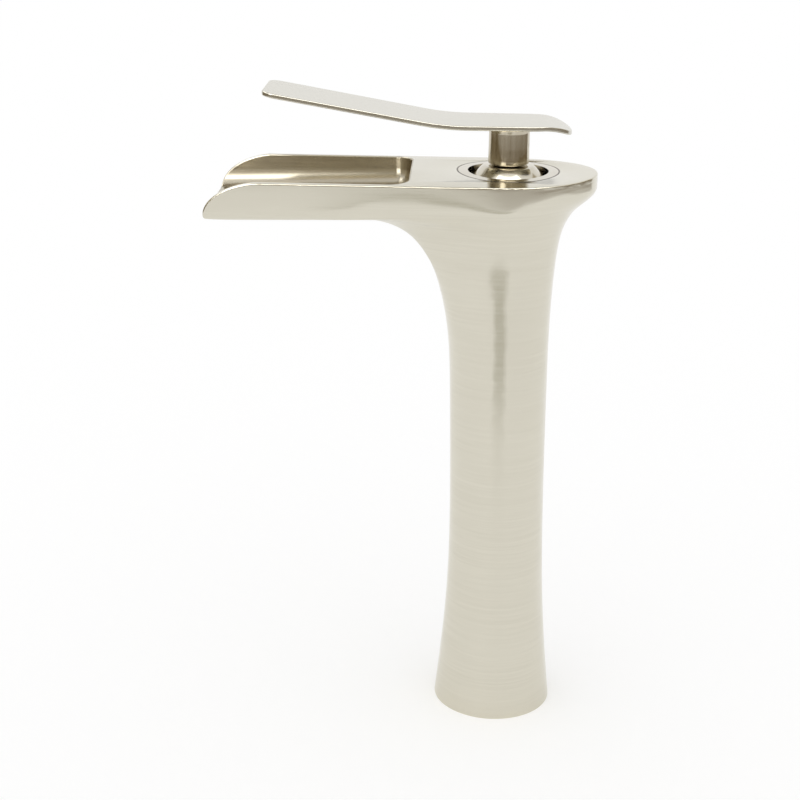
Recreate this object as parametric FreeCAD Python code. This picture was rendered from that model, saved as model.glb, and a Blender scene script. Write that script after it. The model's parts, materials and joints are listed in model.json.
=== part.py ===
import FreeCAD, Part
import os
from math import atan2, cos, hypot, pi, radians, sin, sqrt

# Waterfall basin faucet, in millimetres.
# The origin is the centre of the foot on the deck, +Z up, and the spout pours towards -X.

V = FreeCAD.Vector
UP = V(0, 0, 1)
BACK = V(1, 0, 0)

# ---- faucet body, outside --------------------------------------------------------------
foot_radius = 28.3
top_height = 263.0            # crown of the head above the deck
crown_radius = 500.0          # the top is slightly domed across its width
spout_half_width = 32.3
spout_tip = 132.0             # reach of the lip in front of the axis
head_back = 39.8              # back of the head behind the axis
head_ellipse_centre = -3.0    # where the straight sides end and the round back begins
waist = ((6, 27.65), (18, 26.4), (36, 24.75), (58, 23.15), (84, 22.35), (112, 22.2),
         (140, 22.35), (166, 22.55))   # height and radius of the column
lean_start = 52.0             # above this height the column drifts towards the spout
lean_end = 166.0
lean = 1.4
# Flare of the column into the head. Each size is given towards the spout, the sides and the
# back; the first eight are depths below the crown, the others distances out.
start_depth = (72.6, 57.0, 66.8)
bend_depth = (41.2, 35.5, 34.3)
shoulder_depth = (24.0, 24.2, 23.3)
inner_depth = (18.25, 16.0, 17.7)
outer_depth = (17.35, 8.5, 15.1)
corner_depth = (16.65, 4.5, 8.9)
wall_depth = (13.0, 3.2, 5.0)
band_depth = (2.2, 2.2, 2.6)
start_swell = (1.0, 0.1, -0.2)
bend_swell = (8.0, 1.4, 1.8)
shoulder_out = (21.6, 3.6, 5.0)
inner_out = (39.2, 6.2, 11.0)
corner_size = (9.0, 1.6, 4.5)
front_reach = 50.0            # distances over which the flare changes between those sizes
back_reach = 36.0
corner_reach = 80.0           # the spout's lower corners fade out over this length
apron_depth = 8.5             # upright wall under the rim beside the lever, dipping in a soft V
apron_middle = -2.0
apron_half_width = 25.0
web_depth = 5.0               # the spout's sides run down into the column this much lower
web_middle = -34.0
web_half_width = 26.0
draft = 1.2                   # the spout's sides lean in by this much towards the underside
spout_fall = 0.018            # the underside falls this much per mm towards the lip
spout_fall_start = 50.0
tip_curve_length = 28.6       # the rims run down to the lip in a quarter ellipse
rim_lift = 0.3                # the run-down starts this far above the crown at the trough's edge
rim_edge = 0.7                # easing along the rims, inside and out
lip_round = 3.2
lip_rise = 2.93               # foremost line of the lip above the underside

# ---- faucet body, inside ---------------------------------------------------------------
spout_wall = 3.2
trough_back = 43.0            # back wall of the trough in front of the axis
trough_depth = 12.6           # floor of the trough at its back wall, below the crown
trough_slope = 1.7            # degrees, down towards the lip
trough_back_round = 8.5
trough_floor_round = 7.5
column_bore = 18.3
foot_bore = 20.4
foot_bore_depth = 22.0
chamber_plate = 16.0          # thickness of the wall between the column and the chamber
gasket_land = 2.1             # width of the foot inside the gasket groove
gasket_rim = 1.9              # and outside it
gasket_thick = 1.6

# ---- waterway from the cartridge to the trough -----------------------------------------
slot_half_width = 22.0
slot_height = 5.2
slot_lift = 0.6               # the slot sits this far above the trough floor
throat_half_width = 7.0
throat_depth = 5.0
throat_offset = 22.9          # middle of the rising passage in front of the axis
throat_straight = 12.0        # the passage rises straight for this length
fan_drop = 20.6               # the fan starts this far below the slot
fan_offset = 3.8
fan_half_width = 12.5
gallery_height = 5.0
gallery_half_width = 2.6
gallery_roof = 3.6            # wall between the gallery and the chamber

# ---- cartridge -------------------------------------------------------------------------
cartridge_radius = 17.5
cartridge_clearance = 0.25
cartridge_depth = 19.5        # shoulder under the nut, below the crown
housing_wall = 1.8
neck_radius = 13.6
neck_wall = 2.2
neck_height = 5.1
base_flange = 2.2
base_lift = 0.2               # the port seals hold the base off the chamber floor
base_thick = 8.8
pin_radius = 1.5
pin_length = 3.0
pin_spread = 12.0
pin_forward = 5.5
port_radius = 3.0
inlet_forward = 5.5           # the inlets lie in front of the axis, the outlet behind it
inlet_spread = 7.0
outlet_back = 7.5
seal_width = 1.2
seal_depth = 1.2
disc_radius = 14.4
disc_thick = 5.0
moving_disc_radius = 12.6
moving_disc_thick = 4.6
pocket_radius = 5.7           # mixing pocket in the lower face of the moving disc
pocket_offset = 0.3
pocket_arm = 11.5             # the pocket reaches this far back over the outlet
pocket_depth = 2.2
carrier_thick = 5.5
carrier_rim = 0.2
lug_spread = 7.5
lug_depth = 1.8
running_gap = 0.05            # between ground or turned faces that slide
carrier_gap = 0.3
turret_gap = 0.4
turret_flange = 2.0
turret_flange_gap = 0.15
turret_rise = 2.8             # top of the turret above the tilt axis
turret_slot = 7.8
turret_slot_depth = 6.2       # floor of its slot below the tilt axis
tab_thick = 4.8
tab_half_width = 6.0

# ---- lever -----------------------------------------------------------------------------
ball_depth = 11.8             # centre of the dome and tilt axis below the crown
lift_range = 22.0             # degrees
dome_radius = 18.0
dome_wall = 1.2
dome_skirt = 5.5              # lower edge of the dome above its centre
dome_flat_rise = 14.4         # flat under the post above the centre
dome_plate = 2.1
collar_radius = 7.6
collar_height = 0.6
pivot_radius = 1.5
spindle_width = 7.6
spindle_depth = 8.0
spindle_square = 6.0
spindle_stem = 3.2
spindle_neck = 2.0
spindle_cone = 2.0
spindle_room = 1.8            # the block clears the slot floor when it tilts
swing_gap = 0.8
ball_radius = 3.0
ball_floor = 0.95             # carrier left under the ball
ball_gap = 0.2
post_radius = 9.0
post_length = 17.1
post_swell = 0.15
post_swell_length = 8.0
post_edge = 0.8
post_flare = 0.8
post_flare_length = 3.2
post_cap = 3.5                # solid top of the post above its square socket
plate_thick = 2.0
plate_front = 107.5
plate_back = 27.3
plate_half_front = 17.9
plate_half_back = 16.5
plate_level_front = 18.0      # the level part ends here, in front of the post
plate_level_back = 14.0
plate_rise_radius = 120.0
plate_rise = 9.6              # degrees
plate_curl_radius = 25.0
plate_curl = 43.0             # degrees, past the back edge
plate_corner = 5.5
plate_back_round = 19.3
plate_edge = 0.5
screw_radius = 2.5
screw_length = 5.0
screw_rise = 8.3              # above the foot of the post
socket_across = 2.5
socket_depth = 2.2

# ---- trim ring and nut -----------------------------------------------------------------
ring_radius = 22.45
ring_hole = 17.9
ring_thick = 2.6
ring_seam = 0.25
ring_skirt_outer = 20.55
ring_skirt_inner = 18.6
ring_skirt_length = 8.9
ring_bore_gap = 0.25
ring_edge = 0.25
ring_seal_depth = 5.4         # lower edge of the seal groove below the seat
ring_seal_width = 1.6
ring_groove = 0.9
nut_radius = 19.0
nut_height = 5.7
nut_bore_gap = 0.2
nut_notches = 6
nut_notch_width = 4.0
nut_notch_depth = 2.0
nut_notch_wall = 1.8

# ---- feeds and foot --------------------------------------------------------------------
block_bottom = 4.2
inlet_radius = 4.46           # core of an M10 x 1 thread
inlet_depth = 10.0
stud_radius = 3.4             # core of an M8 thread
stud_depth = 12.0
stud_back = 11.5
tube_radius = 4.0
tube_wall = 1.0
tube_gap = 0.1
tube_socket = 5.0
tube_port = 6.0
tube_end_gap = 0.3
o_ring_width = 1.2
o_ring_height = 1.5
o_ring_offset = 2.0
circlip_thick = 1.3
circlip_groove = 1.3
circlip_width = 3.4
circlip_gap = 12.0
circlip_lug = 2.6
circlip_hole = 1.0
fit_gap = 0.1
seal_gap = 0.03
over = 1.0                    # cutters run this far past the faces they cut


def crown_height(y):
    """Height of the domed top at a distance to the side of the middle."""
    return top_height - crown_radius + sqrt(crown_radius ** 2 - y ** 2)


# ---- places worked out from the sizes ---------------------------------------------------
rim_height = crown_height(spout_half_width - spout_wall) + rim_lift
lip_height = (top_height - outer_depth[0] + spout_fall * (spout_fall_start - spout_tip)
              + lip_rise)
tilt_height = top_height - ball_depth
trough_floor = top_height - trough_depth
ring_seat = top_height - ring_thick
ring_bore = ring_skirt_outer + ring_bore_gap
seal_height = ring_seat - ring_seal_depth
nut_bore = nut_radius + running_gap
shoulder_height = top_height - cartridge_depth
nut_top = shoulder_height + nut_height
chamber_radius = cartridge_radius + cartridge_clearance
housing_bore = cartridge_radius - housing_wall
turret_neck = neck_radius - neck_wall - running_gap
turret_disc = housing_bore - running_gap
flange_bottom = shoulder_height - housing_wall - turret_flange_gap - turret_flange
carrier_top = flange_bottom - turret_gap
moving_disc_top = carrier_top - carrier_thick
moving_disc_bottom = moving_disc_top - moving_disc_thick
disc_top = moving_disc_bottom - running_gap
base_top = disc_top - disc_thick
base_bottom = base_top - base_thick
chamber_floor = base_bottom - base_lift
column_top = chamber_floor - chamber_plate
ball_height = moving_disc_top + ball_floor + ball_radius
arm = tilt_height - ball_height
travel = arm * radians(lift_range)
dome_flat = tilt_height + dome_flat_rise
post_bottom = dome_flat + collar_height
post_top = post_bottom + post_length
plate_height = post_top + plate_thick
screw_height = post_bottom + screw_rise
slot_floor = tilt_height - turret_slot_depth
gasket_inner = foot_bore + gasket_land
gasket_outer = foot_radius - gasket_rim
socket_floor = foot_bore_depth - tube_socket
inlets = [V(-inlet_forward, side * inlet_spread, 0) for side in (1, -1)]
outlet = V(outlet_back, 0, 0)
ports = inlets + [outlet]


def cylinder(radius, bottom, top, x=0.0, y=0.0):
    return Part.makeCylinder(radius, top - bottom, V(x, y, bottom), UP)


def tube(outer, inner, bottom, top, x=0.0, y=0.0):
    return cylinder(outer, bottom, top, x, y).cut(cylinder(inner, bottom - over, top + over, x, y))


def cross_pin(radius, half_length, height):
    return Part.makeCylinder(radius, 2 * half_length, V(0, -half_length, height), V(0, 1, 0))


def box(x1, x2, y1, y2, z1, z2):
    return Part.makeBox(x2 - x1, y2 - y1, z2 - z1, V(x1, y1, z1))


def square_bar(half, bottom, top):
    return box(-half, half, -half, half, bottom, top)


def profile_face(points):
    return Part.Face(Part.makePolygon(points + [points[0]]))


def face_of(edges):
    return Part.Face(Part.Wire(Part.__sortEdges__(edges)))


def revolve_points(points):
    """Turn a profile of (radius, height) points about the column's axis."""
    outline = [V(radius, 0, height) for radius, height in points]
    return profile_face(outline).revolve(V(0, 0, 0), UP, 360)


def smooth(share):
    share = min(max(share, 0.0), 1.0)
    return share * share * (3 - 2 * share)


# ---- the outer skin of the body ---------------------------------------------------------
def rim_outline():
    """Half of the rim in plan, from the back of the head to the front of the spout."""
    back_steps, side_steps, end_steps = 9, 11, 4
    half_length = head_back - head_ellipse_centre
    overrun = spout_tip + 18.0
    points = []
    for step in range(back_steps + 1):
        turn = pi / 2 * step / back_steps
        points.append((head_ellipse_centre + half_length * cos(turn), spout_half_width * sin(turn)))
    for step in range(1, side_steps + 1):
        share = (step / side_steps) ** 1.25
        points.append((head_ellipse_centre - share * (overrun + head_ellipse_centre),
                       spout_half_width))
    for step in range(1, end_steps + 1):
        points.append((-overrun, spout_half_width * (1 - step / end_steps)))
    return points


def by_direction(values, x, reach=front_reach):
    """Blend a size between its values at the spout, the sides and the back of the head."""
    front, side, back = values
    return side + (front - side) * smooth(-x / reach) + (back - side) * smooth(x / back_reach)


def column_lean(height):
    return -lean * smooth((height - lean_start) / (lean_end - lean_start) * 0.75) / smooth(0.75)


def meridian(x, y):
    """Control points of the skin from the foot up to one point of the rim."""
    reach = hypot(x, y)
    turn = atan2(y, x)
    line = [(foot_radius, 0.0)]
    for height, radius in waist:
        line.append((radius + column_lean(height) * cos(turn), height))
    neck = line[-1][0]
    gap = reach - neck
    apron = apron_depth * smooth(1 - abs(x - apron_middle) / apron_half_width)
    web = web_depth * smooth(1 - abs(x - web_middle) / web_half_width)
    lean_in = draft * smooth(-x / front_reach) * reach / max(y, 12.0)
    corner = min(by_direction(corner_size, x, corner_reach) * reach / max(y, 12.0), 0.45 * gap)
    outer = gap - corner - lean_in
    fall = spout_fall * min(x + spout_fall_start, 0.0)

    def height(depths):
        return top_height - by_direction(depths, x)

    line += [(neck + by_direction(start_swell, x), height(start_depth)),
             (neck + by_direction(bend_swell, x), height(bend_depth) - 0.3 * apron),
             (neck + min(by_direction(shoulder_out, x), 0.45 * outer),
              height(shoulder_depth) - 0.5 * apron),
             (neck + min(by_direction(inner_out, x), 0.8 * outer),
              height(inner_depth) - 0.75 * apron - web),
             (neck + outer, height(outer_depth) + fall - apron - web),
             (reach - lean_in, height(corner_depth) + fall - apron),
             (reach - 0.75 * lean_in, height(wall_depth) - apron),
             (reach, height(band_depth)),
             (reach, rim_height),
             (reach, top_height + 5.0)]
    return [V(radius * cos(turn), radius * sin(turn), level) for radius, level in line]


def skin_solid():
    """One cubic surface round the whole body, closed by flat faces at the foot and the top."""
    half = [meridian(x, y) for x, y in rim_outline()]
    mirrored = [[V(p.x, -p.y, p.z) for p in line] for line in half[-2:0:-1]]
    lines = half + mirrored
    around, up = len(lines), len(lines[0])
    up_knots = up - 2
    surface = Part.BSplineSurface()
    surface.buildFromPolesMultsKnots(
        lines, [1] * (around + 1), [4] + [1] * (up_knots - 2) + [4],
        [float(knot) for knot in range(around + 1)], [float(knot) for knot in range(up_knots)],
        True, False, 3, 3)
    skin = surface.toShape()
    faces = [skin]
    for edge in skin.Edges:
        if edge.BoundBox.ZLength < 0.001:
            faces.append(Part.Face(Part.Wire([edge])))
    shell = Part.Shell(faces)
    shell.sewShape()
    return Part.Solid(shell)


def crown_tool():
    """Everything above the domed top, as one long bar."""
    half = spout_half_width + 20
    start = -spout_tip - 60
    left = V(start, -half, crown_height(half))
    right = V(start, half, crown_height(half))
    sky = V(0, 0, 60)
    face = face_of([Part.Arc(left, V(start, 0, top_height), right).toShape(),
                    Part.makeLine(right, right + sky),
                    Part.makeLine(right + sky, left + sky),
                    Part.makeLine(left + sky, left)])
    return face.extrude(V(spout_tip + head_back + 120, 0, 0))


def tip_tool():
    """What lies in front of the rims' run-down and of the lip, cut away across the width."""
    centre_x = tip_curve_length - spout_tip
    lip = V(-spout_tip, 0, lip_height)
    top = V(centre_x, 0, rim_height)
    ellipse = Part.Ellipse(lip, top, V(centre_x, 0, lip_height))
    turn = V(lip.x + lip_round * (1 - cos(pi / 4)), 0, lip.z - lip_round * sin(pi / 4))
    low = V(lip.x + lip_round, 0, lip.z - lip_round)
    floor, sky, far = low.z - 40, top_height + 10, lip.x - 60
    face = face_of([Part.Arc(ellipse, 0, pi / 2).toShape(),
                    Part.Arc(lip, turn, low).toShape(),
                    Part.makeLine(low, V(low.x, 0, floor)),
                    Part.makeLine(V(low.x, 0, floor), V(far, 0, floor)),
                    Part.makeLine(V(far, 0, floor), V(far, 0, sky)),
                    Part.makeLine(V(far, 0, sky), V(top.x, 0, sky)),
                    Part.makeLine(V(top.x, 0, sky), top)])
    half = spout_half_width + 20
    face.translate(V(0, -half, 0))
    return face.extrude(V(0, 2 * half, 0))


def trough_tool():
    """The open channel of the spout, with round inside corners and a falling floor."""
    half = spout_half_width - spout_wall
    start = -spout_tip - 30
    tool = box(start, -trough_back, -half, half, trough_floor, top_height + 20)
    upright = [edge for edge in tool.Edges
               if edge.BoundBox.ZLength > 5 and edge.BoundBox.XMin > -trough_back - 1]
    tool = tool.makeFillet(trough_back_round, upright)
    low = [edge for edge in tool.Edges
           if edge.BoundBox.ZMax < trough_floor + 0.01 and edge.BoundBox.XMax > start + 1]
    tool = tool.makeFillet(trough_floor_round, low)
    tool.rotate(V(-trough_back, 0, trough_floor), V(0, 1, 0), -trough_slope)
    return tool


def ease_rims(body):
    """Round the edges of the top and of the rims' run-down, where they meet skin and trough."""
    tops = [face for face in body.Faces if isinstance(face.Surface, Part.SurfaceOfExtrusion)]
    for face in body.Faces:
        if isinstance(face.Surface, Part.Cylinder):
            if min(abs(face.Surface.Radius - radius) for radius in (crown_radius, lip_round)) < 0.001:
                tops.append(face)
    edges = [edge for face in tops for edge in face.Edges]
    border = [edge for edge in edges if sum(edge.isSame(other) for other in edges) == 1]
    return body.makeFillet(min(rim_edge, 0.3 * spout_wall), border)


def window(x, z, half_width, depth, tilt):
    """Cross-section of the passage, turned by tilt degrees from flat to upright."""
    across = V(0, half_width, 0)
    away = V(cos(radians(tilt)), 0, sin(radians(tilt))) * (depth / 2)
    centre = V(x, 0, z)
    corners = [centre + across + away, centre - across + away,
               centre - across - away, centre + across - away]
    return Part.makePolygon(corners + [corners[0]])


def waterway_tool():
    """The cast passage: a gallery under the chamber that rises and fans out to the slot."""
    roof = chamber_floor - gallery_roof
    floor = roof - gallery_height
    slot_middle = trough_floor + slot_lift + slot_height / 2
    passage = Part.makeLoft([
        window(-throat_offset, floor, throat_half_width, throat_depth, 0),
        window(-throat_offset, floor + throat_straight, throat_half_width + 1, throat_depth, 0),
        window(-throat_offset - fan_offset, slot_middle - fan_drop, fan_half_width, throat_depth, 12),
        window(-trough_back + 10.5, slot_middle - slot_height, slot_half_width - 5, slot_height, 55),
        window(-trough_back - 3, slot_middle, slot_half_width, slot_height, 90)], True, False)
    gallery = box(-throat_offset - throat_depth / 2, outlet.x + port_radius,
                  -gallery_half_width, gallery_half_width, floor, roof)
    drop = cylinder(port_radius, floor + over, chamber_floor + over, outlet.x)
    return passage.fuse([gallery, drop])


def tube_bores(mouth, floor, inlet):
    """Socket for one end of a riser tube, with the groove for its O-ring."""
    away = 1 if mouth > floor else -1
    low, high = sorted([floor, mouth + away * over])
    groove = sorted([mouth - away * o_ring_offset, mouth - away * (o_ring_offset + o_ring_height)])
    return [cylinder(tube_radius + tube_gap, low, high, inlet.x, inlet.y),
            cylinder(tube_radius + o_ring_width, groove[0], groove[1], inlet.x, inlet.y)]


def faucet_body():
    body = ease_rims(skin_solid().cut(crown_tool()).cut(tip_tool()).cut(trough_tool()))
    bores = [cylinder(foot_bore, -over, foot_bore_depth),
             cylinder(column_bore, foot_bore_depth - over, column_top),
             cylinder(chamber_radius, chamber_floor, shoulder_height),
             cylinder(nut_bore, shoulder_height, nut_top),
             cylinder(ring_bore, nut_top, ring_seat),
             cylinder(ring_radius + ring_seam, ring_seat, top_height + over),
             tube(gasket_outer, gasket_inner, -over, gasket_thick),
             cylinder(foot_bore + circlip_groove, block_bottom - circlip_thick - fit_gap,
                      block_bottom)]
    for inlet in inlets:
        bores += tube_bores(column_top, column_top + tube_port, inlet)
        bores.append(cylinder(port_radius, column_top, chamber_floor + over, inlet.x, inlet.y))
    for side in (1, -1):
        bores.append(cylinder(pin_radius + fit_gap, chamber_floor - pin_length - fit_gap,
                              chamber_floor + over, pin_forward, side * pin_spread))
    for bore in bores:
        body = body.cut(bore)
    return body.cut(waterway_tool())


# ---- foot and feeds ---------------------------------------------------------------------
def base_gasket():
    return tube(gasket_outer - fit_gap, gasket_inner + fit_gap, 0, gasket_thick)


def inlet_block():
    block = cylinder(foot_bore - fit_gap, block_bottom, foot_bore_depth)
    for inlet in inlets:
        cuts = tube_bores(foot_bore_depth, socket_floor, inlet)
        cuts.append(cylinder(inlet_radius, block_bottom - over, block_bottom + inlet_depth,
                             inlet.x, inlet.y))
        cuts.append(cylinder(port_radius, block_bottom, foot_bore_depth, inlet.x, inlet.y))
        for cut in cuts:
            block = block.cut(cut)
    return block.cut(cylinder(stud_radius, block_bottom - over, block_bottom + stud_depth, stud_back))


def retaining_ring():
    outer = foot_bore + circlip_groove - fit_gap
    inner = outer - circlip_width
    low = block_bottom - circlip_thick
    ring = tube(outer, inner, low, block_bottom)
    ring = ring.cut(box(0, outer + 5, -circlip_gap / 2, circlip_gap / 2, low - over,
                        block_bottom + over))
    y = circlip_gap / 2 + circlip_lug
    x = sqrt((foot_bore - circlip_lug - fit_gap) ** 2 - y ** 2)
    for side in (1, -1):
        ring = ring.fuse(cylinder(circlip_lug, low, block_bottom, x, side * y))
        ring = ring.cut(cylinder(circlip_hole, low - over, block_bottom + over, x, side * y))
    return ring.removeSplitter()


def riser_tube(inlet):
    return tube(tube_radius, tube_radius - tube_wall, socket_floor + tube_end_gap,
                column_top + tube_port - tube_end_gap, inlet.x, inlet.y)


def riser_o_rings():
    rings = []
    for inlet in inlets:
        for bottom in (foot_bore_depth - o_ring_offset - o_ring_height, column_top + o_ring_offset):
            rings.append(tube(tube_radius + o_ring_width - seal_gap, tube_radius + seal_gap, bottom,
                              bottom + o_ring_height, inlet.x, inlet.y))
    return Part.makeCompound(rings)


# ---- cartridge --------------------------------------------------------------------------
def cartridge_base():
    flange = cylinder(cartridge_radius, base_bottom, base_bottom + base_flange)
    plug = cylinder(turret_disc, base_bottom, base_top)
    base = flange.fuse(plug)
    for port in ports:
        seat = port_radius + seal_width
        base = base.cut(cylinder(port_radius, base_bottom - over, base_top + over, port.x, port.y))
        base = base.cut(cylinder(seat, base_bottom - over, base_bottom + seal_depth, port.x, port.y))
        base = base.cut(cylinder(seat, base_top - seal_depth, base_top + over, port.x, port.y))
    for side in (1, -1):
        base = base.fuse(cylinder(pin_radius, chamber_floor - pin_length, base_bottom + over,
                                  pin_forward, side * pin_spread))
        key = cylinder(pin_radius, base_top - over, disc_top - over, 0, side * disc_radius)
        base = base.fuse(key.common(cylinder(turret_disc, base_bottom, disc_top)))
    return base


def port_seals(bottom, height):
    return Part.makeCompound([tube(port_radius + seal_width - seal_gap, port_radius, bottom,
                                   bottom + height, port.x, port.y) for port in ports])


def cartridge_port_seals():
    return port_seals(chamber_floor, base_lift + seal_depth)


def fixed_disc_seals():
    return port_seals(base_top - seal_depth, seal_depth)


def fixed_disc():
    disc = cylinder(disc_radius, base_top, disc_top)
    for port in ports:
        disc = disc.cut(cylinder(port_radius, base_top - over, disc_top + over, port.x, port.y))
    for side in (1, -1):
        disc = disc.cut(cylinder(pin_radius + fit_gap, base_top - over, disc_top + over,
                                 0, side * disc_radius))
    return disc


def cartridge_housing():
    bottom = base_bottom + base_flange
    shell = cylinder(cartridge_radius, bottom, shoulder_height)
    shell = shell.fuse(cylinder(neck_radius, shoulder_height - over, shoulder_height + neck_height))
    shell = shell.cut(cylinder(housing_bore, bottom - over, shoulder_height - housing_wall))
    return shell.cut(cylinder(turret_neck + running_gap, bottom, shoulder_height + neck_height + over))


def turret():
    """Turns in the housing neck; its two guides hold the disc carrier, its slot the spindle."""
    flange_top = flange_bottom + turret_flange
    top = tilt_height + turret_rise
    piece = cylinder(turret_disc, flange_bottom, flange_top)
    piece = piece.fuse(cylinder(turret_neck, flange_bottom, top))
    guide = box(-tab_half_width, tab_half_width, turret_disc - tab_thick, turret_disc + over,
                moving_disc_top + carrier_gap, flange_top)
    guides = guide.fuse(guide.mirror(V(0, 0, 0), V(0, 1, 0)))
    piece = piece.fuse(guides.common(cylinder(turret_disc, moving_disc_top, flange_top)))
    half = turret_slot / 2
    piece = piece.cut(box(-turret_neck - over, turret_neck + over, -half, half, slot_floor, top + over))
    forward = arm * sin(radians(lift_range)) + ball_radius + swing_gap
    back = spindle_stem + swing_gap
    side = spindle_stem + carrier_gap
    piece = piece.cut(box(-forward, back, -side, side, flange_bottom - over, top))
    return piece.cut(cross_pin(pivot_radius, turret_neck + over, tilt_height))


def pivot_pin():
    return cross_pin(pivot_radius, turret_neck - carrier_gap, tilt_height)


def disc_carrier():
    """Carries the upper disc. The lever is down at rest, so it stands half its travel back."""
    middle = travel / 2
    half = turret_disc - tab_thick - carrier_gap
    carrier = cylinder(moving_disc_radius + carrier_rim, moving_disc_top, carrier_top, middle)
    carrier = carrier.common(box(-turret_disc * 2, turret_disc * 2, -half, half,
                                 moving_disc_top - over, carrier_top + over))
    carrier = carrier.cut(square_bar(ball_radius + ball_gap, moving_disc_top + ball_floor - ball_gap,
                                     carrier_top + over))
    for side in (1, -1):
        carrier = carrier.fuse(cylinder(pin_radius, moving_disc_top - lug_depth,
                                        moving_disc_top + over, middle, side * lug_spread))
    return carrier


def moving_disc():
    middle = travel / 2
    disc = cylinder(moving_disc_radius, moving_disc_bottom, moving_disc_top, middle)
    for side in (1, -1):
        disc = disc.cut(cylinder(pin_radius + fit_gap, moving_disc_top - lug_depth - fit_gap,
                                 moving_disc_top + over, middle, side * lug_spread))
    # The pocket clears the inlets at rest and slides over them as the lever lifts; its arm
    # stays over the outlet.
    low, high = moving_disc_bottom - over, moving_disc_bottom + pocket_depth
    pocket = cylinder(pocket_radius, low, high, pocket_offset)
    pocket = pocket.fuse(box(pocket_offset, pocket_arm, -port_radius, port_radius, low, high))
    return disc.cut(pocket)


# ---- lever ------------------------------------------------------------------------------
def spindle():
    half = spindle_square / 2
    plate_under = dome_flat - dome_plate
    block_foot = slot_floor + spindle_room
    cone_foot = ball_height + ball_radius + 1.5
    ball = Part.makeSphere(ball_radius, V(0, 0, ball_height))
    neck = cylinder(spindle_neck, ball_height, cone_foot + over)
    cone = Part.makeCone(spindle_neck, spindle_stem, spindle_cone, V(0, 0, cone_foot), UP)
    stem = cylinder(spindle_stem, cone_foot + spindle_cone, block_foot + over)
    block = box(-spindle_depth / 2, spindle_depth / 2, -spindle_width / 2, spindle_width / 2,
                block_foot, plate_under)
    square = square_bar(half, plate_under - over, post_top - post_cap - carrier_gap)
    piece = ball.fuse([neck, cone, stem, block, square])
    return piece.cut(cross_pin(pivot_radius + running_gap, spindle_width, tilt_height)).removeSplitter()


def dome_cap():
    centre = V(0, 0, tilt_height)
    plate_under = dome_flat - dome_plate
    shell = Part.makeSphere(dome_radius, centre).cut(Part.makeSphere(dome_radius - dome_wall, centre))
    plate = Part.makeSphere(dome_radius - fit_gap, centre).common(
        cylinder(dome_radius, plate_under, dome_flat))
    shell = shell.fuse(plate)
    shell = shell.common(cylinder(dome_radius + over, tilt_height + dome_skirt, dome_flat))
    shell = shell.fuse(cylinder(collar_radius, dome_flat - over / 2, post_bottom))
    half = spindle_square / 2 + running_gap
    return shell.cut(square_bar(half, tilt_height, post_bottom + over)).removeSplitter()


def handle_post():
    """Turned post: eased lower edge, slightly fuller foot and a small flare under the plate."""
    foot = post_radius + post_swell
    post = revolve_points([
        (0, post_top), (0, post_bottom),
        (foot - post_edge, post_bottom),
        (foot - post_edge * 0.3, post_bottom + post_edge * 0.3),
        (foot, post_bottom + post_edge),
        (post_radius, post_bottom + post_swell_length),
        (post_radius, post_top - post_flare_length),
        (post_radius + post_flare * 0.3, post_top - post_flare_length * 0.45),
        (post_radius + post_flare, post_top)])
    half = spindle_square / 2 + running_gap
    post = post.cut(square_bar(half, post_bottom - over, post_top - post_cap))
    hole = Part.makeCylinder(screw_radius + running_gap, 2 * post_radius, V(0, 0, screw_height), BACK)
    return post.cut(hole)


def plate_profile():
    """Side view of the bent plate: curl at the back, level part, bend and straight rise."""
    rise = radians(plate_rise)
    curl = radians(plate_curl)

    def bend_point(angle, offset):
        radius = plate_rise_radius - offset
        return V(-plate_level_front - radius * sin(angle), 0,
                 plate_height + plate_rise_radius - radius * cos(angle))

    def curl_point(angle, offset):
        radius = plate_curl_radius + offset
        return V(plate_level_back + radius * sin(angle), 0,
                 plate_height - plate_curl_radius + radius * cos(angle))

    along = V(-cos(rise), 0, sin(rise))
    run = along * ((plate_front + 12 + bend_point(rise, 0).x) / cos(rise))
    upper, lower = 0.0, -plate_thick
    edges = [Part.makeLine(bend_point(rise, upper) + run, bend_point(rise, lower) + run),
             Part.makeLine(curl_point(curl, upper), curl_point(curl, lower))]
    for offset in (upper, lower):
        edges.append(Part.makeLine(bend_point(rise, offset) + run, bend_point(rise, offset)))
        edges.append(Part.Arc(bend_point(rise, offset), bend_point(rise / 2, offset),
                              bend_point(0, offset)).toShape())
        edges.append(Part.makeLine(bend_point(0, offset), curl_point(0, offset)))
        edges.append(Part.Arc(curl_point(0, offset), curl_point(curl / 2, offset),
                              curl_point(curl, offset)).toShape())
    return face_of(edges)


def plate_plan():
    """Plan of the plate: rounded front corners, slight taper and a half-elliptical back."""
    start = plate_back - plate_back_round
    ellipse = Part.Ellipse(V(plate_back, 0, 0), V(start, plate_half_back, 0), V(start, 0, 0))
    inset = plate_corner * (1 - cos(pi / 4))
    edges = [Part.Arc(ellipse, -pi / 2, pi / 2).toShape()]
    for side in (1, -1):
        knee = V(-plate_front + plate_corner, side * plate_half_front, 0)
        middle = V(-plate_front + inset, side * (plate_half_front - inset), 0)
        end = V(-plate_front, side * (plate_half_front - plate_corner), 0)
        edges.append(Part.makeLine(V(start, side * plate_half_back, 0), knee))
        edges.append(Part.Arc(knee, middle, end).toShape())
    half = plate_half_front - plate_corner
    edges.append(Part.makeLine(V(-plate_front, half, 0), V(-plate_front, -half, 0)))
    return face_of(edges)


def handle_plate():
    half = plate_half_front + 20
    strip = plate_profile()
    strip.translate(V(0, -half, 0))
    strip = strip.extrude(V(0, 2 * half, 0))
    plan = plate_plan()
    plan.translate(V(0, 0, plate_height - 30))
    plate = strip.common(plan.extrude(V(0, 0, 80)))
    return plate.makeFillet(plate_edge, plate.Edges)


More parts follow.
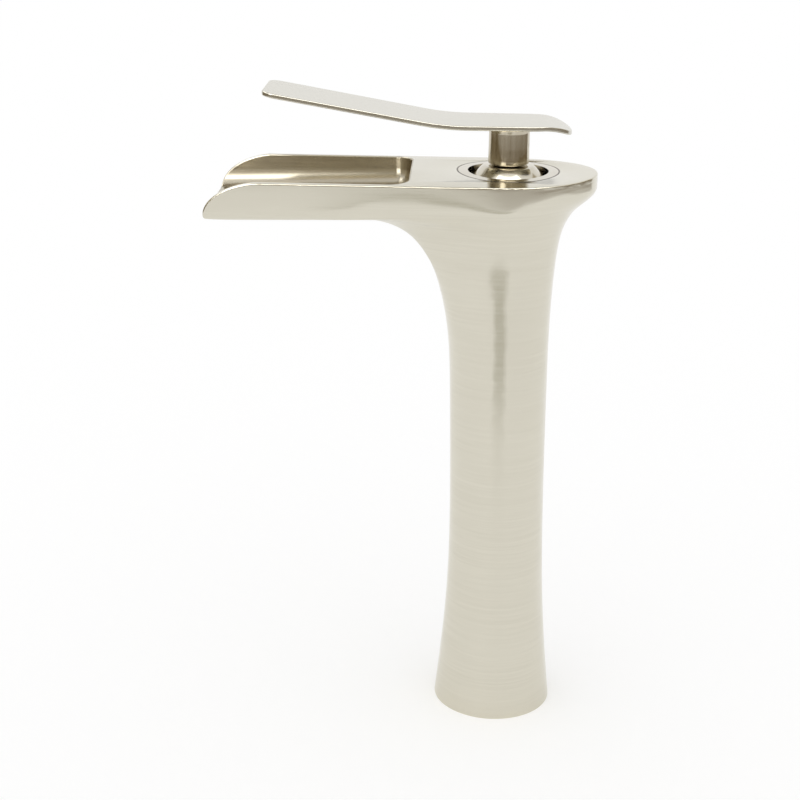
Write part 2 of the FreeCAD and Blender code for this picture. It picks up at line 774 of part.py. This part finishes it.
def set_screw():
    start = spindle_square / 2
    screw = Part.makeCylinder(screw_radius, screw_length, V(start, 0, screw_height), BACK)
    corner = socket_across / sqrt(3)
    corners = [V(start + screw_length, corner * cos(pi / 3 * n), screw_height + corner * sin(pi / 3 * n))
               for n in range(6)]
    return screw.cut(profile_face(corners).extrude(BACK * -socket_depth))


def screw_plug():
    start = spindle_square / 2 + screw_length
    plug = Part.makeCylinder(screw_radius, post_radius - start, V(start, 0, screw_height), BACK)
    return plug.common(cylinder(post_radius, post_bottom, post_top))


# ---- trim ring and nut ------------------------------------------------------------------
def trim_ring():
    foot = ring_seat - ring_skirt_length
    ring = tube(ring_radius, ring_hole, ring_seat, top_height + over)
    skirt = tube(ring_skirt_outer, ring_skirt_inner, foot, ring_seat + ring_edge)
    groove = tube(ring_skirt_outer + over, ring_skirt_outer - ring_groove, seal_height,
                  seal_height + ring_seal_width)
    return ring.fuse(skirt).cut(groove).cut(crown_tool())


def trim_ring_seal():
    return tube(ring_bore - seal_gap, ring_skirt_outer - ring_groove + seal_gap,
                seal_height + seal_gap, seal_height + ring_seal_width - seal_gap)


def cartridge_nut():
    nut = tube(nut_radius, neck_radius + nut_bore_gap, shoulder_height, nut_top)
    for n in range(nut_notches):
        notch = box(neck_radius + nut_notch_wall, nut_radius + over, -nut_notch_width / 2,
                    nut_notch_width / 2, nut_top - nut_notch_depth, nut_top + over)
        notch.rotate(V(0, 0, 0), UP, 360 / nut_notches * n)
        nut = nut.cut(notch)
    return nut


pieces = {
    "faucet_body": faucet_body,
    "base_gasket": base_gasket,
    "inlet_block": inlet_block,
    "retaining_ring": retaining_ring,
    "hot_riser_tube": lambda: riser_tube(inlets[0]),
    "cold_riser_tube": lambda: riser_tube(inlets[1]),
    "riser_o_rings": riser_o_rings,
    "cartridge_base": cartridge_base,
    "cartridge_port_seals": cartridge_port_seals,
    "fixed_disc_seals": fixed_disc_seals,
    "fixed_disc": fixed_disc,
    "cartridge_housing": cartridge_housing,
    "cartridge_nut": cartridge_nut,
    "trim_ring": trim_ring,
    "trim_ring_seal": trim_ring_seal,
    "turret": turret,
    "pivot_pin": pivot_pin,
    "disc_carrier": disc_carrier,
    "moving_disc": moving_disc,
    "spindle": spindle,
    "dome_cap": dome_cap,
    "handle_post": handle_post,
    "handle_plate": handle_plate,
    "set_screw": set_screw,
    "screw_plug": screw_plug,
}

os.makedirs("parts", exist_ok=True)
for name, make in pieces.items():
    shape = make()
    shape.exportStep("parts/" + name + ".step")
    size = shape.BoundBox
    print("%-22s solids %d  volume %9.1f  valid %s  x %.1f..%.1f  y %.1f..%.1f  z %.1f..%.1f" % (
        name, len(shape.Solids), shape.Volume, shape.isValid(),
        size.XMin, size.XMax, size.YMin, size.YMax, size.ZMin, size.ZMax))
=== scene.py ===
import bpy, bmesh, json, math
import numpy as np
from mathutils import Matrix, Vector

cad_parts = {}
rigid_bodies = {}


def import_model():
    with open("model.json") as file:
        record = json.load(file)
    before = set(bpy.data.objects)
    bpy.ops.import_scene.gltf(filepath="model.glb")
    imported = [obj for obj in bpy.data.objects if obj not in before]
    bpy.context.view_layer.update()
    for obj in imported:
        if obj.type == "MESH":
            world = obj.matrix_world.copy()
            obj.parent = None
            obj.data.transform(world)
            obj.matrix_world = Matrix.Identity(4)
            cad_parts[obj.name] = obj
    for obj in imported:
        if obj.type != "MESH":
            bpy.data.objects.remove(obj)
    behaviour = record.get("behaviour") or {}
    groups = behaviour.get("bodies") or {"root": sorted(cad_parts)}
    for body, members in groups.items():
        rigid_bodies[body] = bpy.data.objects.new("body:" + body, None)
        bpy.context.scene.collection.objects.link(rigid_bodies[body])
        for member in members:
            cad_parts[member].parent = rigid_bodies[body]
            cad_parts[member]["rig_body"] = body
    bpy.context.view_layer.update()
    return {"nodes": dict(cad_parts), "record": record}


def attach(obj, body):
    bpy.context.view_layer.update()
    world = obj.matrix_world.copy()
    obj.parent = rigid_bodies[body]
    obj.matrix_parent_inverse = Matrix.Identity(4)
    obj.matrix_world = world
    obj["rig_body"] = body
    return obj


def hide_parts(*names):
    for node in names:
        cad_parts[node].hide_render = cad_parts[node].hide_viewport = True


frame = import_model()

nodes = frame["nodes"]
slotOf = {part["node"]: part["material_slot"] for part in frame["record"]["subparts"]}
print("frame loaded:", len(nodes), "nodes")


class Field:                             # a socket of a material; arithmetic on it adds Math nodes
    def __init__(self, maker, socket):
        self.maker = maker
        self.socket = socket

    def math(self, operation, first, second):
        return self.maker.add("ShaderNodeMath", {"operation": operation}, {0: first, 1: second})

    def __add__(self, other):
        return self.math("ADD", self, other)

    def __radd__(self, other):
        return self.math("ADD", other, self)

    def __sub__(self, other):
        return self.math("SUBTRACT", self, other)

    def __rsub__(self, other):
        return self.math("SUBTRACT", other, self)

    def __mul__(self, other):
        return self.math("MULTIPLY", self, other)

    def __rmul__(self, other):
        return self.math("MULTIPLY", other, self)

    def __truediv__(self, other):
        return self.math("DIVIDE", self, other)

    def __rtruediv__(self, other):
        return self.math("DIVIDE", other, self)

    def __pow__(self, other):
        return self.math("POWER", self, other)

    def ramp(self, start, end):          # 0 at start, 1 at end, smooth between
        return self.maker.add("ShaderNodeMapRange", {"interpolation_type": "SMOOTHSTEP"},
                              {"Value": self, "From Min": start, "From Max": end}, "Result")


class Maker:                             # builds the nodes of one material or world
    def __init__(self, block):
        self.block = block
        block.use_nodes = True
        self.tree = block.node_tree
        self.shader = self.tree.nodes.get("Principled BSDF")

    def add(self, kind, settings, values, output=0):
        node = self.tree.nodes.new(kind)
        for key, value in settings.items():
            setattr(node, key, value)
        for key, value in values.items():
            self.join(value, node.inputs[key])
        return Field(self, node.outputs[output])

    def join(self, value, socket):
        if isinstance(value, Field):
            self.tree.links.new(value.socket, socket)
        elif isinstance(value, tuple) and socket.type == "RGBA":
            socket.default_value = (*value, 1.0)
        else:
            socket.default_value = value

    def set(self, **sockets):
        for key, value in sockets.items():
            self.join(value, self.shader.inputs[key.replace("_", " ")])

    def place(self):
        return self.add("ShaderNodeTexCoord", {}, {}, "Object")

    def axis(self, letter):
        return self.add("ShaderNodeSeparateXYZ", {}, {"Vector": self.place()}, letter)

    def radius(self):                    # distance from the column's middle line
        x, y = self.axis("X"), self.axis("Y")
        return (x * x + y * y) ** 0.5

    def noise(self, scale, detail=3.0, roughness=0.5):
        place = self.add("ShaderNodeMapping", {}, {"Vector": self.place(), "Scale": scale})
        return self.add("ShaderNodeTexNoise", {}, {"Vector": place, "Scale": 1.0, "Detail": detail,
                                                   "Roughness": roughness}, "Fac")

    def blend(self, share, first, second):
        return self.add("ShaderNodeMix", {"data_type": "RGBA"},
                        {"Factor": share, "A": first, "B": second}, "Result")

    def bump(self, height, strength, distance):
        self.join(self.add("ShaderNodeBump", {}, {"Height": height, "Strength": strength,
                                                  "Distance": distance}), self.shader.inputs["Normal"])

    def output(self, surface):
        kind = "World" if isinstance(self.block, bpy.types.World) else "Material"
        end = self.tree.nodes[kind + " Output"]
        self.tree.links.new(surface.socket, end.inputs["Surface"])


# what every brushed finish shares: slow clouds, how far grain and clouds shift the gloss, the way the
# reflections stretch, the depth of the grain, and the darker strip round the ring near the top
brushLook = {"cloud": 14.0, "cloudDepth": 0.06, "cloudGloss": 0.05, "grainGloss": 0.10,
             "tones": (0.2, 0.8), "turn": 0.25, "relief": 0.00002,
             "seamSoft": 0.0001, "seamRise": (0.2560, 0.2570)}


def seamStrip(make, seam):               # 1 between two radii, where the ring meets the head
    inside, outside = seam
    radius, soft = make.radius(), brushLook["seamSoft"]
    strip = radius.ramp(inside - soft, inside) * (1.0 - radius.ramp(outside, outside + soft))
    return strip * make.axis("Z").ramp(*brushLook["seamRise"])


def brushed(name, look):
    # fine grain and broad streaks along the brushing, and slow clouds: each shifts the tone a little
    make = Maker(bpy.data.materials.new(name))
    fine = make.noise(look["grain"], 3.0, 0.7)
    broad = make.noise(look["streak"], 2.0, 0.5)
    cloud = make.noise((brushLook["cloud"],) * 3, 2.0, 0.5)
    shade = ((fine - 0.5) * look["grainDepth"] + (broad - 0.5) * look["streakDepth"]
             + (cloud - 0.5) * brushLook["cloudDepth"])
    tone = make.blend((shade + 0.5).ramp(*brushLook["tones"]), look["dark"], look["light"])
    if "seam" in look:
        tone = make.blend(seamStrip(make, look["seam"]), tone, look["seamShade"])
    gloss = (fine - 0.5) * brushLook["grainGloss"] + (cloud - 0.5) * brushLook["cloudGloss"]
    make.set(Base_Color=tone, Metallic=1.0, Roughness=look["rough"] + gloss,
             Anisotropic=look["stretch"], Anisotropic_Rotation=brushLook["turn"])
    make.bump(fine, look["bump"], brushLook["relief"])
    return make.block


mouldLook = {"gloss": 0.12, "bump": 0.12, "relief": 0.0001}


def moulded(name, look):
    # small spots of a darker shade, with a little unevenness of gloss and height
    make = Maker(bpy.data.materials.new(name))
    spots = make.noise((look["grain"],) * 3)
    darker = tuple(part * look["spots"] for part in look["colour"])
    make.set(Base_Color=make.blend(spots, darker, look["colour"]), Metallic=look["metal"],
             Roughness=look["rough"] + (spots - 0.5) * mouldLook["gloss"])
    make.bump(spots, mouldLook["bump"], mouldLook["relief"])
    return make.block


def rows(items, name):                   # a vector of each item, one to a row
    values = np.empty(len(items) * 3)
    items.foreach_get(name, values)
    return values.reshape(-1, 3)


def unit(vectors):
    return vectors / np.maximum(np.linalg.norm(vectors, axis=1), 1e-9)[:, None]


def nearRoot(places, look):              # 1 at the spout's roots on both sides, fading to 0 round them
    share = [look["rootFade"] - np.linalg.norm((places * (1, side, 1) - look["root"])
                                               / look["rootSize"], axis=1) for side in (1, -1)]
    return np.clip(np.maximum(*share), 0.0, 1.0)[:, None]


def evenNormals(piece, look, area):
    # the skin's corner normals become the mean of their neighbours' over and over, each neighbour
    # counting exp(-(distance / reach)^2); all other corners keep the area-weighted ones
    graph = bpy.context.evaluated_depsgraph_get()
    corners = rows(piece.evaluated_get(graph).data.corner_normals, "vector")
    mesh = piece.data
    places = rows(mesh.vertices, "co")
    ofCorner = np.empty(len(mesh.loops), int)
    mesh.loops.foreach_get("vertex_index", ofCorner)
    skin = area(places[ofCorner], corners)
    summed = np.zeros_like(places)
    np.add.at(summed, ofCorner[skin], corners[skin])
    inSkin = np.linalg.norm(summed, axis=1) > 0
    ends = np.empty(len(mesh.edges) * 2, int)
    mesh.edges.foreach_get("vertices", ends)
    ends = ends.reshape(-1, 2)
    ends = ends[inSkin[ends].all(1)]
    gaps = np.linalg.norm(places[ends[:, 0]] - places[ends[:, 1]], axis=1)
    weight = np.exp(-(gaps / look["reach"]) ** 2)[:, None]
    normal = unit(summed)
    root = nearRoot(places, look)
    for step in range(look["rootRounds"]):
        total = normal.copy()
        np.add.at(total, ends[:, 0], weight * normal[ends[:, 1]])
        np.add.at(total, ends[:, 1], weight * normal[ends[:, 0]])
        share = root if step >= look["rounds"] else 1.0     # the last rounds work on the roots alone
        normal = unit(normal + (total - normal) * share)
    corners[skin] = normal[ofCorner[skin]]
    piece.modifiers.clear()
    mesh.normals_split_custom_set([tuple(vector) for vector in corners.tolist()])


mergeLook = {"distance": 0.000002, "angle": 32.0, "smoothing": 0.5}


def finish(node, material, relax=None, second=None):
    # a merged copy of the node, smooth across edges flatter than the angle, takes over from it
    source = nodes[node]
    mesh = source.data.copy()
    mesh.name = node + "_finished"
    work = bmesh.new()
    work.from_mesh(mesh)
    bmesh.ops.remove_doubles(work, verts=work.verts, dist=mergeLook["distance"])
    if relax:                            # even out the vertices of one area of the skin
        work.normal_update()
        chosen = [vertex for vertex in work.verts if relax["area"](vertex.co, vertex.normal)]
        for step in range(relax["steps"]):
            bmesh.ops.smooth_vert(work, verts=chosen, factor=mergeLook["smoothing"], use_axis_x=True,
                                  use_axis_y=True, use_axis_z=True)
    work.to_mesh(mesh)
    work.free()
    mesh.materials.clear()
    mesh.materials.append(material)
    if second:                           # a second finish on the faces that its area takes in
        mesh.materials.append(second["material"])
        inside = second["area"](rows(mesh.polygons, "center"), rows(mesh.polygons, "normal"))
        mesh.polygons.foreach_set("material_index", inside.astype(np.int32))
    piece = bpy.data.objects.new(node + "_finished", mesh)
    bpy.context.scene.collection.objects.link(piece)
    mesh.shade_smooth()
    mesh.set_sharp_from_angle(angle=math.radians(mergeLook["angle"]))
    even = piece.modifiers.new("even shading", "WEIGHTED_NORMAL")
    even.mode = "FACE_AREA_WITH_ANGLE"
    even.keep_sharp = True
    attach(piece, source["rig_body"])
    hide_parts(node)
    return piece


# column, head and trough: the brushing runs round the column
bodyLook = {"grain": (24.0, 24.0, 1700.0), "streak": (7.0, 7.0, 420.0), "grainDepth": 0.9,
            "streakDepth": 0.14, "dark": (0.640, 0.610, 0.515), "light": (0.700, 0.670, 0.575),
            "rough": 0.18, "stretch": 0.5, "bump": 0.05,
            "seam": (0.0226, 0.0229), "seamShade": (0.16, 0.13, 0.09)}
# the trough's inside: the body's nickel in darker colours, painted shade where the lever plate keeps the
# light off
troughPaintedShadeLook = {**bodyLook, "rough": 0.22, "stretch": 0.9, "dark": (0.490, 0.445, 0.350),
              "light": (0.545, 0.500, 0.405)}

# how the body's skin is evened: relaxing steps, rounds of normals, and where the roots are
skinLook = {"relaxSteps": 60, "reach": 0.005, "rounds": 4, "rootRounds": 60,
            "root": (-0.040, -0.027, 0.241), "rootSize": (0.022, 0.012, 0.012), "rootFade": 1.6}

# edges of the body's areas, in metres
zone = {"rootX": (-0.066, -0.006), "rootY": 0.006, "rootZ": (0.222, 0.257), "rootFacing": 0.2,
        "troughX": -0.0425, "troughY": 0.0292, "troughZ": 0.2465, "troughUp": 0.05, "troughBack": -0.5,
        "spoutX": -0.020, "tipX": -0.105, "skinZ": (0.001, 0.2606), "skinUp": 0.5,
        "wallX": -0.0415, "wallZ": 0.2455, "bore": 0.0210}


def spoutRoot(place, normal):            # where the spout's sides run into the column
    near = zone["rootX"][0] < place.x < zone["rootX"][1] and zone["rootZ"][0] < place.z < zone["rootZ"][1]
    return (near and abs(place.y) > zone["rootY"] and normal.y * place.y > 0
            and abs(normal.y) > zone["rootFacing"])


# the faces inside the trough, which take the nickel with painted shade
def shadedTroughInside(places, normals):
    x, y, z = places.T
    within = (x < zone["troughX"]) & (np.abs(y) < zone["troughY"]) & (z > zone["troughZ"])
    inwards = (normals[:, 2] > zone["troughUp"]) | (normals[:, 1] * y < 0)
    return within & (inwards | (normals[:, 0] < zone["troughBack"]))


def outerSkin(places, normals):          # the flare, the spout's sides and the column, below the rim
    x, y, z = places.T
    facing = (normals[:, 0] * x + normals[:, 1] * y > 0) | (x < zone["spoutX"])
    below = (z < zone["skinZ"][1]) & (z > zone["skinZ"][0]) & (normals[:, 2] < zone["skinUp"])
    outside = (np.abs(y) > zone["troughY"]) | (z < zone["wallZ"]) | (x > zone["wallX"])
    bored = np.hypot(x, y) < zone["bore"]            # the bores inside
    return facing & below & (x > zone["tipX"]) & outside & ~bored


body = finish("faucet_body", brushed("body nickel", bodyLook),
              relax={"area": spoutRoot, "steps": skinLook["relaxSteps"]},
              second={"area": shadedTroughInside, "material": brushed("trough nickel with painted shade", troughPaintedShadeLook)})
evenNormals(body, skinLook, outerSkin)
print("body finished")

# ring and half ball
ringLook = {"grain": (90.0, 90.0, 900.0), "streak": (30.0, 30.0, 200.0), "grainDepth": 0.5,
            "streakDepth": 0.3, "dark": (0.585, 0.545, 0.455), "light": (0.665, 0.625, 0.535),
            "rough": 0.17, "stretch": 0.5, "bump": 0.10,
            "seam": (0.0222, 0.0226), "seamShade": (0.16, 0.13, 0.09)}
finish("trim_ring", brushed("ring nickel", ringLook))
domeLook = {"grain": (60.0, 60.0, 900.0), "streak": (20.0, 20.0, 160.0), "grainDepth": 0.5,
            "streakDepth": 0.3, "dark": (0.585, 0.545, 0.455), "light": (0.665, 0.625, 0.535),
            "rough": 0.15, "stretch": 0.5, "bump": 0.08}
finish("dome_cap", brushed("dome nickel", domeLook))

# post and its plug: brushed along the post's length, in darker colours that paint the shade under the
# lever plate
postPaintedShadeLook = {"grain": (900.0, 900.0, 10.0), "streak": (260.0, 260.0, 6.0), "grainDepth": 0.6,
            "streakDepth": 0.5, "dark": (0.46, 0.41, 0.31), "light": (0.60, 0.55, 0.45),
            "rough": 0.16, "stretch": 0.6, "bump": 0.10}
postShadedNickel = brushed("post nickel with painted shade", postPaintedShadeLook)
finish("handle_post", postShadedNickel)
finish("screw_plug", postShadedNickel)

# lever plate: brushed along its length
leverLook = {"grain": (26.0, 2200.0, 2200.0), "streak": (8.0, 400.0, 400.0), "grainDepth": 0.5,
             "streakDepth": 0.25, "dark": (0.61, 0.59, 0.52), "light": (0.70, 0.68, 0.61),
             "rough": 0.22, "stretch": 0.0, "bump": 0.10}
finish("handle_plate", brushed("lever nickel", leverLook))
print("ring, dome, post and lever finished")

# inside: each slot of the record has its own finish
innerLook = {
    "brass": {"colour": (0.78, 0.60, 0.30), "metal": 1.0, "rough": 0.30, "grain": 260.0, "spots": 0.86},
    "copper": {"colour": (0.80, 0.45, 0.30), "metal": 1.0, "rough": 0.28, "grain": 260.0, "spots": 0.86},
    "rubber": {"colour": (0.03, 0.03, 0.03), "metal": 0.0, "rough": 0.65, "grain": 400.0, "spots": 0.7},
    "cartridge_plastic": {"colour": (0.80, 0.80, 0.77), "metal": 0.0, "rough": 0.42, "grain": 300.0,
                          "spots": 0.93},
    "ceramic": {"colour": (0.88, 0.87, 0.84), "metal": 0.0, "rough": 0.12, "grain": 500.0, "spots": 0.95},
    "steel": {"colour": (0.58, 0.58, 0.58), "metal": 1.0, "rough": 0.28, "grain": 260.0, "spots": 0.86},
    "spring_steel": {"colour": (0.42, 0.42, 0.43), "metal": 1.0, "rough": 0.32, "grain": 260.0,
                     "spots": 0.8},
}
inner = {slot: moulded(slot.replace("_", " ") + " finish", look) for slot, look in innerLook.items()}
outer = ("faucet_body", "trim_ring", "dome_cap", "handle_post", "screw_plug", "handle_plate")
for node in nodes:
    if node not in outer:
        finish(node, inner[slotOf[node]])
print("inner pieces finished:", len(nodes) - len(outer))


def stagePiece(name, corners, faces, material):
    mesh = bpy.data.meshes.new(name)
    mesh.from_pydata(corners, [], faces)
    mesh.materials.append(material)
    piece = bpy.data.objects.new(name, mesh)
    bpy.context.scene.collection.objects.link(piece)
    return piece


def mirrored(piece):                     # seen by the metal alone
    piece.visible_camera = False
    piece.visible_diffuse = False
    piece.visible_shadow = False
    piece.visible_transmission = False
    return piece


def rectangle(left, right, front, back, height):
    return [(left, front, height), (right, front, height), (right, back, height), (left, back, height)]


def seenDirectly(make):                  # 1 for the camera, for reflections and through glass
    camera, glossy, through = (make.add("ShaderNodeLightPath", {}, {}, ray)
                               for ray in ("Is Camera Ray", "Is Glossy Ray", "Is Transmission Ray"))
    return camera + glossy + through


# white floor: the paint carries the shadow, and its own light lifts the rest to white
floorLook = {"half": 9.0, "colour": (0.80, 0.80, 0.80), "lift": 0.24}
make = Maker(bpy.data.materials.new("white floor"))
paint = make.add("ShaderNodeBsdfDiffuse", {}, {"Color": floorLook["colour"]})
lift = make.add("ShaderNodeEmission", {}, {"Strength": seenDirectly(make) * floorLook["lift"]})
make.output(make.add("ShaderNodeAddShader", {}, {0: paint, 1: lift}))
half = floorLook["half"]
stagePiece("floor", rectangle(-half, half, -half, half, 0), [(0, 1, 2, 3)], make.block)

worldLook = {"colour": (1.0, 1.0, 1.0), "seen": 1.0, "light": 0.95}
world = bpy.data.worlds.new("studio")
bpy.context.scene.world = world
make = Maker(world)
direct = seenDirectly(make)
back = make.tree.nodes["Background"]
make.join(worldLook["colour"], back.inputs["Color"])
make.join(direct * worldLook["seen"] + (1.0 - direct) * worldLook["light"], back.inputs["Strength"])


def lit(name, colour, strength, cover=None, upper=None, fade=None):
    # plain light; cover gives how much of it there is at each place, upper the colour that it fades
    # to between two heights
    make = Maker(bpy.data.materials.new(name))
    if upper:
        colour = make.blend(make.axis("Z").ramp(*fade), colour, upper)
    light = make.add("ShaderNodeEmission", {}, {"Color": colour, "Strength": strength})
    if cover:
        clear = make.add("ShaderNodeBsdfTransparent", {}, {})
        light = make.add("ShaderNodeMixShader", {}, {0: cover(make), 1: clear, 2: light})
    make.output(light)
    return make.block


def card(name, points, material):        # a grid of points, as rows and columns, seen by the metal alone
    count, across = points.shape[:2]
    first = (np.arange(count - 1)[:, None] * across + np.arange(across - 1)).ravel()
    faces = np.stack([first, first + 1, first + across + 1, first + across], -1)
    return mirrored(stagePiece(name, points.reshape(-1, 3).tolist(), faces.tolist(), material))


def turned(azimuths, rings):
    # a profile carried round the column: each ring is (radius, height), each azimuth in degrees
    turns = np.radians(azimuths)
    radius, height = np.array(rings).T
    return np.stack([np.outer(radius, np.cos(turns)), np.outer(radius, np.sin(turns)),
                     np.outer(height, np.ones(len(turns)))], -1)


def arch(look, side):
    # a strip of sphere whose long edges lie in planes square to the spout: edges are their offsets
    # to the left as parts of the distance, rise the heights in degrees, side -1 in front, 1 behind
    rise = np.radians(np.linspace(*look["rise"], look["steps"][0]))[:, None]
    offset = np.linspace(*look["edges"], look["steps"][1])[None, :]
    turn = np.arccos(np.clip(-offset / np.cos(rise), -1.0, 1.0)) * side
    return np.stack([np.cos(rise) * np.cos(turn), np.cos(rise) * np.sin(turn),
                     np.sin(rise) + 0.0 * turn], -1) * look["distance"]


# the darker room beyond the paper, in front and to the sides: a floor and a wall, lighter higher up
roomLook = {"azimuths": (-215.0, 35.0), "steps": 51, "near": 1.16, "soft": 0.10, "overlap": 0.2,
            "far": 8.0, "floor": 0.002, "top": 5.6, "colour": (0.20, 0.155, 0.095),
            "upper": (0.50, 0.45, 0.34), "fade": (0.8, 2.4)}


def roomCover(make):
    return make.radius().ramp(roomLook["near"] - roomLook["soft"], roomLook["near"] + roomLook["soft"])


card("dark room",
     turned(np.linspace(*roomLook["azimuths"], roomLook["steps"]),
            [(roomLook["near"] - roomLook["overlap"], roomLook["floor"]),
             (roomLook["far"], roomLook["floor"]), (roomLook["far"], roomLook["top"])]),
     lit("dark room", roomLook["colour"], 1.0, roomCover, roomLook["upper"], roomLook["fade"]))

# the large soft light in front of the tap
softboxLook = {"azimuths": (-150.0, -30.0), "rise": (40.0, 68.0), "steps": (12, 24), "distance": 4.0,
               "colour": (1.0, 0.99, 0.96), "strength": 3.6}
rise = np.radians(np.linspace(*softboxLook["rise"], softboxLook["steps"][0]))
card("softbox",
     turned(np.linspace(*softboxLook["azimuths"], softboxLook["steps"][1]),
            np.stack([np.cos(rise), np.sin(rise)], -1) * softboxLook["distance"]),
     lit("softbox", softboxLook["colour"], softboxLook["strength"]))

# soft lights to the upper left, which the front of the trough mirrors, and a dim wall behind,
# which its back half mirrors
leftLook = {"edges": (0.25, 0.60), "rise": (6.0, 44.0), "steps": (20, 12), "distance": 4.2,
            "colour": (1.0, 0.99, 0.97), "strength": 3.3}
backLook = {**leftLook, "edges": (0.30, 0.60), "rise": (38.0, 62.0)}
dimLook = {**leftLook, "edges": (-0.04, 0.295), "rise": (34.0, 70.0), "distance": 4.3,
           "colour": (0.25, 0.20, 0.125), "strength": 1.0}
for name, look, side in (("left light", leftLook, -1), ("back light", backLook, 1),
                         ("dim wall", dimLook, 1)):
    card(name, arch(look, side), lit(name, look["colour"], look["strength"]))


# something dim on the floor in front, which the column mirrors as a slim shape with a waist
patchLook = {"colour": (0.62, 0.61, 0.56), "middle": 0.01, "half": 0.14, "lobes": (-0.50, -0.66),
             "lobe": 0.07, "neckAt": -0.58, "neck": 0.10, "neckWidth": 0.4, "soft": (0.7, 1.3),
             "sheet": (-0.35, 0.40, -0.85, -0.30, 0.003)}


def patchCover(make):
    # two ovals one behind the other, joined by a narrower one: 1 inside any of them
    x, y = make.axis("X"), make.axis("Y")
    across = ((x - patchLook["middle"]) / patchLook["half"]) ** 2.0
    ovals = [((y - place) / patchLook["lobe"]) ** 2.0 + across for place in patchLook["lobes"]]
    ovals.append(((y - patchLook["neckAt"]) / patchLook["neck"]) ** 2.0
                 + across / patchLook["neckWidth"])
    near, far, neck = (oval.ramp(*patchLook["soft"]) for oval in ovals)
    return 1.0 - near * far * neck


mirrored(stagePiece("dim patch", rectangle(*patchLook["sheet"]), [(0, 1, 2, 3)],
                    lit("dim patch", patchLook["colour"], 1.0, patchCover)))
print("stage set")

cameraLook = {"place": (-0.01743, -0.700, 0.41278), "yaw": -0.042232, "pitch": 0.354970,
              "roll": 0.009798, "lens": 71.78, "sensor": 36.0}
yaw, pitch, roll = cameraLook["yaw"], cameraLook["pitch"], cameraLook["roll"]
forward = Vector((math.sin(yaw) * math.cos(pitch), math.cos(yaw) * math.cos(pitch), -math.sin(pitch)))
right = Vector((math.cos(yaw), -math.sin(yaw), 0.0))
up = right.cross(forward)
across = right * math.cos(roll) + up * math.sin(roll)
above = up * math.cos(roll) - right * math.sin(roll)
camera = bpy.data.objects.new("camera", bpy.data.cameras.new("camera"))
bpy.context.scene.collection.objects.link(camera)
camera.matrix_world = (Matrix.Translation(cameraLook["place"])
                       @ Matrix((across, above, -forward)).transposed().to_4x4())
camera.data.lens = cameraLook["lens"]
camera.data.sensor_width = cameraLook["sensor"]
bpy.context.scene.camera = camera
bpy.context.scene.view_settings.view_transform = "Standard"
print("camera set")
